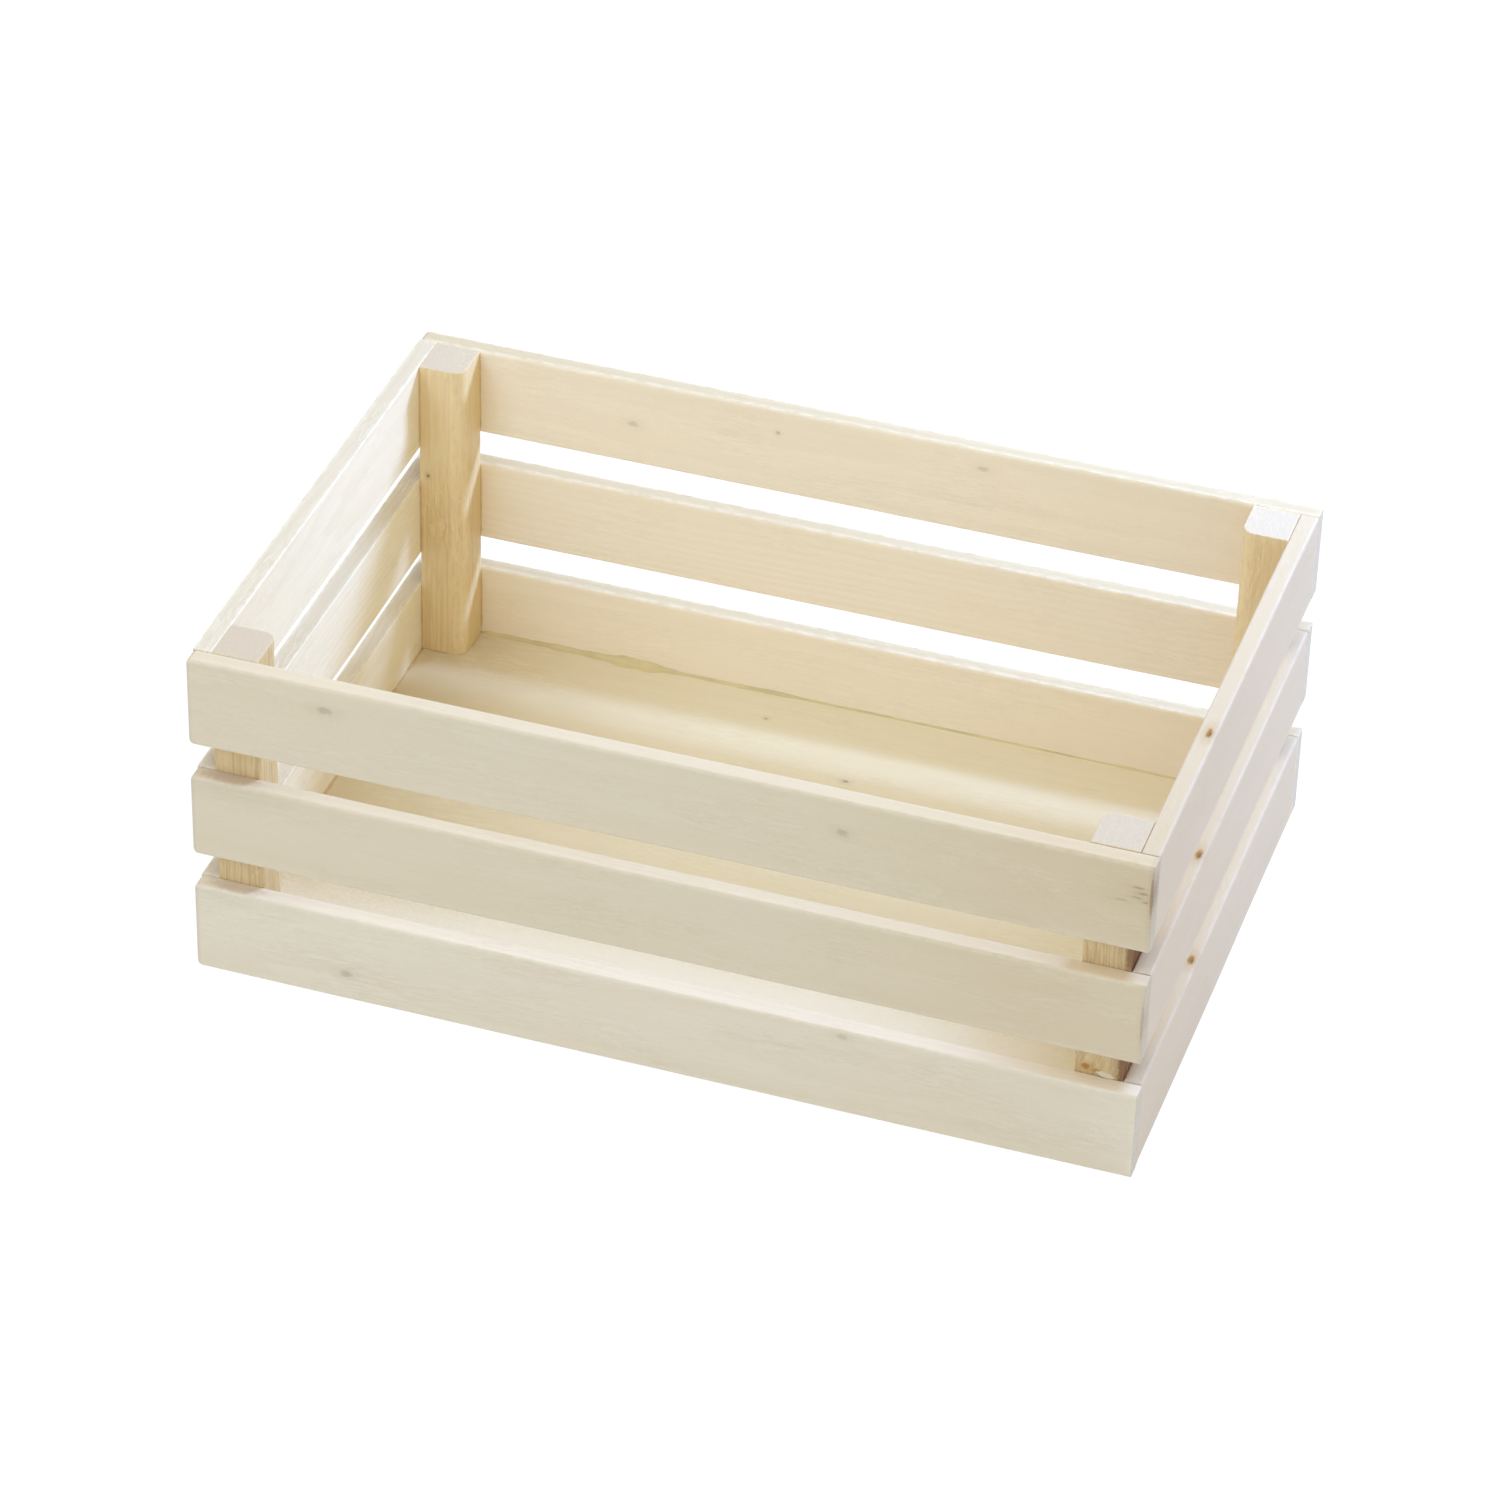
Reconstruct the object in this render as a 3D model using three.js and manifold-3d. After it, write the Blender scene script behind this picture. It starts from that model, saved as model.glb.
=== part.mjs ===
import * as THREE from "three";
import { mergeVertices } from "three/addons/utils/BufferGeometryUtils.js";
import Module from "manifold-3d";

const wasm = await Module();
wasm.setup();

// A low slatted apple crate, in millimetres. X runs along its length, Y from front to back and Z up.
// The origin is the middle of its underside.

// Overall size, measured over the slats.
const crateLength = 300;
const crateWidth = 200;

// Slats: one thickness, and a height for each row of the wall.
const slatThickness = 6;
const bottomSlatHeight = 31;
const middleSlatHeight = 29;
const topSlatHeight = 31;
const lowerGap = 12;
const upperGap = 12;
const slatEdgeRadius = 0.8;

// Corner posts: their size along X and along Y, and the rounding of the edge that faces inside.
const postWidth = 15;
const postDepth = 16;
const postInnerRadius = 4;

// Floor: a thin panel inside the walls, with the posts standing on it.
const floorThickness = 5;
const floorClearance = 0.4;

// Brads: flat wire nails with a chisel point and a small head, sunk below the face and filled over.
const bradLength = 14;
const bradWidth = 1.25;
const bradThickness = 1;
const bradHeadWidth = 2;
const bradHeadThickness = 0.8;
const bradPointLength = 1.6;
const bradCover = 0.8;
const bradStagger = 8;
const floorBradSpacing = 140;

// How finely the rounded edges are drawn.
const edgeSteps = 3;
const postArcSteps = 8;

const crateHeight = bottomSlatHeight + lowerGap + middleSlatHeight + upperGap + topSlatHeight;
const halfLength = crateLength / 2;
const halfWidth = crateWidth / 2;
const innerHalfLength = halfLength - slatThickness;
const innerHalfWidth = halfWidth - slatThickness;

// The three rows of slats, each with the height of its lower edge.
const rows = [
  { row: "bottom", base: 0, height: bottomSlatHeight },
  { row: "middle", base: bottomSlatHeight + lowerGap, height: middleSlatHeight },
  { row: "top", base: crateHeight - topSlatHeight, height: topSlatHeight },
];

// The four walls. A wall is drawn as if it were the front one, with its outer face towards -Y, and
// then turned about Z. The long walls run the full length of the crate, and the short ones fit
// between them. The ends are named in the order that a wall's own X meets them.
const walls = [
  { side: "front", long: true, turn: 0, ends: ["left", "right"] },
  { side: "right", long: false, turn: Math.PI / 2, ends: ["front", "back"] },
  { side: "back", long: true, turn: Math.PI, ends: ["right", "left"] },
  { side: "left", long: false, turn: -Math.PI / 2, ends: ["back", "front"] },
];

// How far a wall's outer face is from the middle of the crate.
const reachOf = (wall) => (wall.long ? halfWidth : halfLength);

const slatWood = new THREE.MeshStandardMaterial({ color: 0xe6dcc2, roughness: 0.72, metalness: 0 });
const postWood = new THREE.MeshStandardMaterial({ color: 0xcdb083, roughness: 0.7, metalness: 0 });
const floorWood = new THREE.MeshStandardMaterial({ color: 0xe3d6b2, roughness: 0.75, metalness: 0 });
const bradSteel = new THREE.MeshStandardMaterial({ color: 0xa9abad, roughness: 0.4, metalness: 1 });

// A closed geometry as a solid that can be joined and cut.
function toSolid(geometry) {
  const bare = geometry.clone();
  bare.deleteAttribute("normal");
  bare.deleteAttribute("uv");
  const merged = mergeVertices(bare);
  return new wasm.Manifold(
    new wasm.Mesh({
      numProp: 3,
      vertProperties: merged.attributes.position.array,
      triVerts: new Uint32Array(merged.index.array),
    }),
  );
}

// A solid back as a geometry with flat faces.
function toGeometry(solid) {
  const mesh = solid.getMesh();
  const geometry = new THREE.BufferGeometry();
  geometry.setAttribute("position", new THREE.BufferAttribute(mesh.vertProperties, 3));
  geometry.setIndex(new THREE.BufferAttribute(mesh.triVerts, 1));
  const flat = geometry.toNonIndexed();
  flat.computeVertexNormals();
  return flat;
}

// An axis-aligned block from its lowest corner to its highest.
function block(low, high) {
  const size = high.clone().sub(low);
  const middle = low.clone().add(high).divideScalar(2);
  return new THREE.BoxGeometry(size.x, size.y, size.z).translate(middle.x, middle.y, middle.z);
}

// A piece cut by each of the given geometries.
function cut(geometry, tools) {
  let solid = toSolid(geometry);
  for (const tool of tools) solid = solid.subtract(toSolid(tool));
  return toGeometry(solid);
}

// A rectangle about the origin, width along X and height along Y.
function rectangle(width, height) {
  const outline = new THREE.Shape();
  outline.moveTo(-width / 2, -height / 2);
  outline.lineTo(width / 2, -height / 2);
  outline.lineTo(width / 2, height / 2);
  outline.lineTo(-width / 2, height / 2);
  outline.closePath();
  return outline;
}

// A full-length slat, eased on all its edges. It lies along X with its outer face at y = 0, its inner
// face at y = slatThickness and its lower edge at z = 0.
function longSlat(height) {
  const radius = slatEdgeRadius;
  const face = rectangle(crateLength - 2 * radius, height - 2 * radius);
  const geometry = new THREE.ExtrudeGeometry(face, {
    depth: slatThickness - 2 * radius,
    bevelThickness: radius,
    bevelSize: radius,
    bevelSegments: edgeSteps,
  });
  return geometry.rotateX(Math.PI / 2).translate(0, slatThickness - radius, height / 2);
}

// A section drawn across Y and Z, run along X from -length / 2 to length / 2.
function alongX(section, length, curveSegments) {
  const geometry = new THREE.ExtrudeGeometry(section, {
    depth: length,
    bevelEnabled: false,
    curveSegments,
  });
  geometry.translate(0, 0, -length / 2);
  const axes = new THREE.Matrix4().makeBasis(
    new THREE.Vector3(0, 1, 0),
    new THREE.Vector3(0, 0, 1),
    new THREE.Vector3(1, 0, 0),
  );
  return geometry.applyMatrix4(axes);
}

// A slat that fits between two long ones: eased along its length, and square at the ends that butt.
// It lies as a long slat does.
function shortSlat(height) {
  const radius = slatEdgeRadius;
  const inner = slatThickness - radius;
  const section = new THREE.Shape();
  section.absarc(inner, radius, radius, -Math.PI / 2, 0);
  section.absarc(inner, height - radius, radius, 0, Math.PI / 2);
  section.absarc(radius, height - radius, radius, Math.PI / 2, Math.PI);
  section.absarc(radius, radius, radius, Math.PI, (3 * Math.PI) / 2);
  return alongX(section, 2 * innerHalfWidth, edgeSteps);
}

// A brad that points along +Y from its head at y = 0, its width along Z and its thickness along X.
function brad() {
  const neck = bradWidth / 2;
  const head = bradHeadWidth / 2;
  const shoulder = bradLength - bradPointLength;
  const outline = new THREE.Shape();
  outline.moveTo(0, -head);
  outline.lineTo(bradHeadThickness, -head);
  outline.lineTo(bradHeadThickness, -neck);
  outline.lineTo(shoulder, -neck);
  outline.lineTo(bradLength, 0);
  outline.lineTo(shoulder, neck);
  outline.lineTo(bradHeadThickness, neck);
  outline.lineTo(bradHeadThickness, head);
  outline.lineTo(0, head);
  outline.closePath();
  return alongX(outline, bradThickness, edgeSteps);
}

// The room that a brad takes, for a brad whose head is at a given place: a wide slot for the head and
// a narrow one for the wire, as long as the brad.
function bradSlots(x, y, z) {
  const side = bradThickness / 2;
  return [
    [bradHeadWidth / 2, bradHeadThickness],
    [bradWidth / 2, bradLength],
  ].map(([half, length]) =>
    block(
      new THREE.Vector3(x - side, y, z - half),
      new THREE.Vector3(x + side, y + length, z + half),
    ),
  );
}

// Where a wall's brads go, in the wall's own frame. One brad at each end of each slat meets the middle
// of the post behind it. The long walls' brads sit above the middle of the slat and the short walls'
// below it, so that they pass each other inside the post. The floor's brads go through the bottom slat
// into the edge of the panel.
function bradsOf(wall) {
  const toPost = wall.long ? innerHalfLength - postWidth / 2 : innerHalfWidth - postDepth / 2;
  const lift = wall.long ? bradStagger / 2 : -bradStagger / 2;
  const inPosts = rows.flatMap(({ row, base, height }) =>
    wall.ends.map((end, index) => ({
      name: `${wall.side}_${row}_slat_${end}_brad`,
      row,
      x: index ? toPost : -toPost,
      z: base + height / 2 + lift,
    })),
  );
  const floorEnds = wall.long ? wall.ends : ["middle"];
  const inFloor = floorEnds.map((end, index) => ({
    name: `floor_${wall.side}_${end}_brad`,
    row: "bottom",
    x: (index - (floorEnds.length - 1) / 2) * floorBradSpacing,
    z: floorThickness / 2,
  }));
  return [...inPosts, ...inFloor];
}

// A corner post that stands on the floor, in the corner that the two signs name, with its edge towards
// the middle of the crate rounded.
function post(signX, signY) {
  const radius = postInnerRadius;
  const arc = new THREE.Path().absarc(
    postWidth - radius,
    postDepth - radius,
    radius,
    0,
    Math.PI / 2,
  );
  const corner = [
    new THREE.Vector2(0, 0),
    new THREE.Vector2(postWidth, 0),
    ...arc.getPoints(postArcSteps),
    new THREE.Vector2(0, postDepth),
  ];
  const outline = new THREE.Shape(
    corner.map(({ x, y }) => new THREE.Vector2(-signX * x, -signY * y)),
  );
  return new THREE.ExtrudeGeometry(outline, {
    depth: crateHeight - floorThickness,
    bevelEnabled: false,
  }).translate(signX * innerHalfLength, signY * innerHalfWidth, floorThickness);
}

// The floor panel, a little smaller than the room between the walls.
function floorPanel() {
  const reachX = innerHalfLength - floorClearance;
  const reachY = innerHalfWidth - floorClearance;
  return block(
    new THREE.Vector3(-reachX, -reachY, 0),
    new THREE.Vector3(reachX, reachY, floorThickness),
  );
}

function named(geometry, material, name) {
  const mesh = new THREE.Mesh(geometry, material);
  mesh.name = name;
  return mesh;
}

// One wall: its three slats, and the brads that hold them. The brads' slots open only at the inner
// faces, because the outer ones are filled over.
function buildWall(wall) {
  const group = new THREE.Group();
  const reach = reachOf(wall);
  const places = bradsOf(wall);
  const drawSlat = wall.long ? longSlat : shortSlat;
  for (const { row, base, height } of rows) {
    const slots = places
      .filter((place) => place.row === row)
      .flatMap((place) => bradSlots(place.x, bradCover, place.z - base));
    const slat = named(cut(drawSlat(height), slots), slatWood, `${wall.side}_${row}_slat`);
    slat.position.set(0, -reach, base);
    group.add(slat);
  }
  for (const { name, x, z } of places) {
    const pin = named(brad(), bradSteel, name);
    pin.position.set(x, bradCover - reach, z);
    group.add(pin);
  }
  group.rotation.z = wall.turn;
  return group;
}

// Every brad's slots in the crate's own frame, to cut the posts and the floor with.
const driven = walls.flatMap((wall) => {
  const turned = new THREE.Matrix4().makeRotationZ(wall.turn);
  return bradsOf(wall)
    .flatMap(({ x, z }) => bradSlots(x, bradCover - reachOf(wall), z))
    .map((slot) => slot.applyMatrix4(turned));
});

const crate = new THREE.Group();
for (const wall of walls) crate.add(buildWall(wall));
for (const [front, signY] of [["front", -1], ["back", 1]])
  for (const [left, signX] of [["left", -1], ["right", 1]])
    crate.add(named(cut(post(signX, signY), driven), postWood, `${front}_${left}_post`));
crate.add(named(cut(floorPanel(), driven), floorWood, "floor_panel"));

export default crate;
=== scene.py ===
"""The looks of a slatted apple crate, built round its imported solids.

It is laid out as an add-on: an operator for each group of boards, for the glue, the brads and the
stage, with the sizes and colours that a user would change kept in property groups. Lengths are in
metres, apart from those of marks and growth rings, which are in millimetres.
"""

import math
from dataclasses import dataclass

import bmesh
import bpy
import numpy as np
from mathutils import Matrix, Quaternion, Vector


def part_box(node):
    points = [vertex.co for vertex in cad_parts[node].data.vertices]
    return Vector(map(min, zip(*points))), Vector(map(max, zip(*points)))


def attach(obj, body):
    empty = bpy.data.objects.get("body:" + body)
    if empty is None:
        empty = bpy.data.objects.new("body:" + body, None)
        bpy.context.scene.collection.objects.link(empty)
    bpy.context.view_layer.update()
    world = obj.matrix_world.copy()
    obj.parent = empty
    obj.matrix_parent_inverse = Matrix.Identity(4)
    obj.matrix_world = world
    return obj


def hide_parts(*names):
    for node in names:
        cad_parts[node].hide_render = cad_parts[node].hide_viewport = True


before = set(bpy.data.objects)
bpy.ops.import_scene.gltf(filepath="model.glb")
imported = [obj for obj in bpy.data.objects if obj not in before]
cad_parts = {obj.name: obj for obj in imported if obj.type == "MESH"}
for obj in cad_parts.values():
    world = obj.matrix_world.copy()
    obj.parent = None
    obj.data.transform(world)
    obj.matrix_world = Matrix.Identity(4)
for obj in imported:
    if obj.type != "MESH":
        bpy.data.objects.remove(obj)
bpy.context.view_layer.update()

bl_info = {
    "name": "Slatted apple crate",
    "version": (1, 0, 0),
    "blender": (4, 5, 0),
    "location": "3D View > Sidebar > Crate",
    "description": "Builds the boards, glue, brads and studio of a slatted apple crate",
    "category": "Object",
}

MM = 0.001

SIDES = ("front", "right", "back", "left")
ROWS = ("bottom", "middle", "top")
CORNERS = (("front", "left"), ("front", "right"), ("back", "left"), ("back", "right"))


def tone(red, green, blue):
    """A colour given as it shows on a screen, from 0 to 255, in the linear values Blender keeps."""

    def linear(value):
        part = value / 255
        return part / 12.92 if part <= 0.04045 else ((part + 0.055) / 1.055) ** 2.4

    return tuple(linear(value) for value in (red, green, blue))


def number(name, description, default, **more):
    return bpy.props.FloatProperty(name=name, description=description, default=default, **more)


def length(name, description, millimetres):
    kind = {"subtype": "DISTANCE", "unit": "LENGTH", "precision": 5, "min": 0}
    return number(name, description, millimetres * MM, **kind)


def share(name, description, default):
    return number(name, description, default, subtype="FACTOR", min=0, max=1)


def triple(name, description, default, **more):
    return bpy.props.FloatVectorProperty(
        name=name, description=description, size=3, default=default, **more
    )


def colour(name, description, *shown):
    return triple(name, description, tone(*shown), subtype="COLOR", min=0, max=1)


def spot(name, description, place):
    return triple(name, description, place, subtype="XYZ", unit="LENGTH", precision=4)


class CrateShape(bpy.types.PropertyGroup):
    """How the boards are shaped beyond their plain sizes, which come from the frame."""

    edge_radius: length("Edge radius", "Rounding of the slats' long edges", 0.8)
    corner_radius: length("Corner radius", "Rounding of a long slat's corners in its face", 1.8)
    tip_radius: length("Tip radius", "Rounding of a long slat's end face", 1.2)
    butt_radius: length("Butt radius", "Rounding of ends that meet another board", 0.25)
    post_radius: length("Post radius", "Rounding of a post's edge that faces inside", 4)
    post_edge_radius: length("Post edge radius", "Rounding of a post's other edges", 0.2)
    post_rib_depth: length("Post rib depth", "Depth of the saw ribs down the posts", 0.05)
    bow: length("Bow", "How far a board strays from straight", 0.15)
    waver: length("Waver", "How uneven a planed face is", 0.05)
    fibre_relief: length("Fibre relief", "How far raised grain stands on a face", 0.018)


class CrateFinish(bpy.types.PropertyGroup):
    """Colours and finish of the wood, glue and steel, with painted light and shade in some of the
    wood's colours.
    """

    slat_tone: colour("Slat", "Pale wood of the slats", 226, 212, 178)
    slat_late_tone: colour("Slat rings", "Growth lines of the slats", 215, 194, 150)
    # Painted light: the back wall's inside is painted paler than its outside, which takes the back
    # outer tone.
    back_slat_tone: colour("Back slats", "Wood inside the back wall", 251, 236, 204)
    back_outer_tone: colour("Back, outside", "Wood outside the back wall", 216, 198, 158)
    # Painted light: the left wall's inside is painted paler and cooler than its outside, which takes
    # the slat tone.
    left_slat_tone: colour("Left slats", "Wood inside the left wall", 255, 244, 214)
    # Painted shade: the right wall is painted darker and greyer than the front.
    right_slat_tone: colour("Right slats", "Wood of the right wall", 219, 200, 170)
    # Some browner ends are the wood's own; on the front slats and the floor's left end they are painted
    # shade.
    slat_brown_tone: colour("Browner ends", "Where a slat turns browner", 209, 188, 144)
    # Real stains, and painted shade: the dark outer side of each post where the gaps show it, dark
    # patches beside the front posts, and dark lines down the front slats' right ends.
    stain_and_shade_tone: colour("Stain", "The dark outer side of a post", 136, 100, 69)
    end_grain_tone: colour("End grain", "Cut ends of the slats", 214, 200, 172)
    post_end_tone: colour("Post ends", "Cut ends of the posts", 223, 205, 173)
    post_tone: colour("Post", "Wood of the corner posts", 241, 218, 167)
    post_late_tone: colour("Post rings", "Growth lines of the posts", 216, 180, 119)
    floor_tone: colour("Floor", "Wood of the floor panel", 239, 224, 184)
    # Painted light: a paler band along the floor's front.
    floor_front_light_tone: colour("Floor front", "Paler wood along the floor's front", 250, 237, 205)
    floor_late_tone: colour("Floor rings", "Growth lines of the floor panel", 227, 205, 159)
    pin_knot_tone: colour("Pin knot", "Small orange-brown knots", 176, 124, 36)
    smudge_tone: colour("Smudge", "Soft knots under the surface", 166, 152, 116)
    speck_tone: colour("Speck", "Dark specks and scorch marks", 96, 76, 54)
    glue_tone: colour("Glue", "Dried glue along the floor joint", 224, 202, 138)
    seam_tone: colour("Seam", "Dried glue beside the posts", 222, 188, 130)
    steel_tone: colour("Brad", "Bright steel of the brads", 172, 174, 176)
    wood_roughness: share("Wood roughness", "Roughness of a sanded face", 0.58)
    ring_contrast: share("Ring contrast", "How clearly the growth lines show", 0.26)
    fibre_contrast: share("Fibre contrast", "How clearly the fibres show", 0.5)


class CrateStudio(bpy.types.PropertyGroup):
    """The camera and the light of the picture."""

    lens: number("Lens", "Focal length of the camera", 140.13, unit="CAMERA", min=10)
    eye: spot("Eye", "Where the camera stands", (0.4409, -1.4106, 1.1124))
    aim: spot("Aim", "The point in the middle of the picture", (-0.0012, -0.0089, 0.0575))
    roll: number("Roll", "How far the camera leans over", math.radians(1.665), subtype="ANGLE")
    key_power: number("Key", "Power of the lamp behind the crate", 6.47, unit="POWER")
    fill_power: number("Fill", "Power of the soft box in front", 7.86, unit="POWER")
    ambient: number("Ambient", "Light that comes from all around", 0.75, min=0)
    backdrop: number("Backdrop", "Brightness that the camera sees behind", 1, min=0)


@dataclass
class Knot:
    """A knot, smudge, stain, speck or patch of painted shade or light: where it is, its radius, how
    drawn out and how strong it is.
    """

    place: tuple
    radius: float
    tone: str
    stretch: float
    strength: float


@dataclass
class Board:
    """A board that stands for a node.

    The axes are those of the frame that its length, width and thickness follow. The radii are of its
    four long edges, towards (+width, +thickness), (-width, +thickness), (-width, -thickness) and
    (+width, -thickness). Each end has a corner radius and a tip radius. The pith is where the middle
    of the tree was, across the width and the thickness. Paler multiplies the light tone, and the edge
    lighting tone the narrow faces along the board: painted light and shade, which differ from wall to
    wall. Browner says how far each end turns brown. The far side is the direction of a face that takes
    the far tone instead: painted shade on a post's outer side, and the unpainted outside of a wall
    whose inside is painted paler. Fibre is how clearly the fibres show, ribs how deep the saw ribs
    along a post are, and the rib tone how dark.
    """

    node: str
    axes: tuple
    radii: tuple
    ends: tuple
    seed: int
    pith: tuple
    ring_width: float
    tones: tuple
    end_tone: str
    slot: str
    ribs: float = 0.0
    paler: tuple = (1, 1, 1)
    edge_lighting_tone: tuple = (1, 1, 1)
    browner: tuple = (0.0, 0.0)
    far_side: tuple = (0, 0)
    far_tone: str = "slat_tone"
    fibre: float = 1.0
    rib_tone: float = 0.0


# What sets each wall's slats apart from plain ones. The edge lighting tones paint light and shade on
# the slats' upper and lower faces: painted shade on the back and left, painted light on the front,
# and on the right a warmer cast against the blue key. The far sides of the back and left keep their
# outsides unpainted, while their insides are painted paler.
WALLS = {
    "front": {"edge_lighting_tone": (1.06, 1.015, 0.975)},
    "right": {"edge_lighting_tone": (1.0, 0.975, 0.86)},
    "back": {
        "edge_lighting_tone": (0.75, 0.7, 0.58),
        "far_side": (0, 1),
        "far_tone": "back_outer_tone",
        "fibre": 0.55,
    },
    "left": {"edge_lighting_tone": (0.82, 0.78, 0.73), "far_side": (0, -1)},
}

# How far each end of the front slats turns brown: painted shade, where the light on the front falls off
# towards its right end.
FRONT_END_SHADE = {"top": (0.0, 0.8), "middle": (0.0, 0.6), "bottom": (0.0, 0.15)}

# How far apart the points of a board are, in millimetres: across its faces, across its edges and
# along it.
SPACING = {"slat_wood": (0.75, 0.6, 1.8), "post_wood": (0.16, 0.16, 3), "floor_wood": (1.5, 0.6, 3)}

# Steps in a rounded edge, and the widest step where an end is closed.
ARC_STEPS = 5
CAP_SPACING = 0.45 * MM

# How far wear reaches from an edge, and how far the unevenness of a face keeps from its ends.
WEAR_REACH = 0.5 * MM
END_REACH = 2 * MM

# Points of a closed end that are nearer than this are joined.
SAME_POINT = 2e-6

# How deep a mark is pressed, as a part of its radius, and the widest radius that counts.
DENT = 0.06
WIDEST_DENT = 1.5 * MM

# How much crisper the left wall's edges are, and the share of the slats that are quarter sawn.
LEFT_CRISPNESS = 0.45
QUARTER_SAWN = 0.35

# How rounded the floor panel's edges are.
FLOOR_EDGE_RADIUS = 0.4 * MM

# Marks that the photograph shows, at their places in the frame, in millimetres.
MARKS = {
    "front_top_slat": (
        Knot((-105.5, -100, 107.1), 1.5, "smudge_tone", 1.9, 0.45),
        Knot((56.4, -100, 103.5), 1.3, "smudge_tone", 1.6, 0.42),
        Knot((146.5, -100, 104.0), 2.6, "slat_brown_tone", 1.6, 0.45),
        Knot((145.6, -100, 106.8), 0.45, "smudge_tone", 4.5, 0.75),
        Knot((146.9, -100, 104.9), 0.5, "smudge_tone", 3.6, 0.85),
        Knot((145.4, -100, 103.2), 0.4, "smudge_tone", 5.0, 0.6),
        Knot((147.9, -100, 102.0), 0.4, "stain_and_shade_tone", 2.6, 0.45),
        Knot((140.5, -100, 101.4), 0.35, "smudge_tone", 7.0, 0.4),
        # Painted shade: a thin dark line down the right end's corner, over its lit rounding.
        Knot((149.6, -99.9, 105), 9.0, "stain_and_shade_tone", 0.07, 0.6),
    ),
    "front_middle_slat": (
        # Painted shadow of the front left post on the middle slat's top.
        Knot((-138, -96.5, 72), 3.4, "stain_and_shade_tone", 3.4, 0.36),
        # Painted shade: a thin dark line down the right end's corner, over its lit rounding.
        Knot((149.6, -99.9, 58), 9.0, "stain_and_shade_tone", 0.06, 0.3),
    ),
    "front_bottom_slat": (
        Knot((-100.2, -100, 9.5), 1.3, "smudge_tone", 1.8, 0.4),
        Knot((58.9, -100, 28.5), 1.2, "smudge_tone", 1.8, 0.3),
        # Painted shadow of the front left post on the bottom slat's top.
        Knot((-137, -96.5, 31), 3.2, "stain_and_shade_tone", 3.4, 0.28),
    ),
    "back_top_slat": (
        Knot((-76.4, 94, 98.9), 1.2, "smudge_tone", 1.8, 0.3),
        Knot((-27.3, 94, 106.5), 0.7, "smudge_tone", 1.2, 0.45),
        Knot((41, 94, 108.3), 1.1, "smudge_tone", 2.2, 0.3),
    ),
    "floor_panel": (
        Knot((-23.8, 79.2, 5), 0.6, "smudge_tone", 1.3, 0.6),
        Knot((11.3, 54.8, 5), 0.8, "smudge_tone", 1.5, 0.8),
        # A painted pool of light along the floor's front.
        Knot((0, -70, 5), 24.0, "floor_front_light_tone", 9.0, 0.75),
    ),
    "front_right_post": (
        Knot((132.3, -94, 33.4), 1.7, "pin_knot_tone", 0.8, 0.8),
        Knot((135.6, -94, 32.4), 1.3, "pin_knot_tone", 0.8, 0.65),
        # Painted shade down the post's right edge, where the gaps open the corner.
        Knot((143.6, -94, 35), 2.0, "stain_and_shade_tone", 4.0, 0.9),
        Knot((143.7, -94, 77), 1.9, "stain_and_shade_tone", 4.0, 0.85),
    ),
    "back_left_post": (Knot((-141.2, 78, 73.8), 0.5, "speck_tone", 1.2, 0.9),),
}

# A pin knot with a dark heart at the upper edge of each of the right wall's slats.
for row, knot, heart in (
    ("top", (147.4, -30, 115), (147.8, -30.6, 115)),
    ("middle", (147.8, -32.3, 72), (148.2, -32.8, 72)),
    ("bottom", (147.8, -30.6, 31), (148.2, -31, 31)),
):
    MARKS[f"right_{row}_slat"] = (
        Knot(knot, 1.2, "pin_knot_tone", 2.3, 1.0),
        Knot(heart, 0.55, "speck_tone", 2.0, 0.6),
    )


def smooth_noise(rng, rows, columns, pitch_along, pitch_round, girth=None):
    """Smooth random values between about -1 and 1, at the given rows and columns.

    The pitches are the sizes of its bumps. Where the columns run round a ring, girth is its length.
    """
    cells_along = max(2, math.ceil(np.ptp(rows) / pitch_along) + 2)
    span = girth or np.ptp(columns) or pitch_round
    cells_round = max(2, round(span / pitch_round))
    lattice = rng.uniform(-1, 1, (cells_along + 1, cells_round))
    if girth is None:
        lattice = rng.uniform(-1, 1, (cells_along + 1, cells_round + 2))

    def places(values, cells, reach):
        at = (values - values.min()) / reach * cells
        low = np.floor(at).astype(int)
        part = at - low
        return low, part * part * (3 - 2 * part)

    low_row, part_row = places(rows, cells_along - 1, max(np.ptp(rows), pitch_along))
    low_column, part_column = places(columns, cells_round, span)
    low_row = np.minimum(low_row, cells_along - 1)
    next_column = low_column + 1
    if girth is not None:
        low_column = low_column % cells_round
        next_column = next_column % cells_round

    def across(row):
        cells = lattice[row]
        return cells[:, low_column] * (1 - part_column) + cells[:, next_column] * part_column

    part_row = part_row[:, None]
    return across(low_row) * (1 - part_row) + across(low_row + 1) * part_row


def drawn_in(distance, radius):
    """How far a rounded end has drawn in at a distance from its tip."""
    left = np.clip(radius - distance, 0, None)
    return radius - np.sqrt(np.clip(radius * radius - left * left, 0, None))


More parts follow.
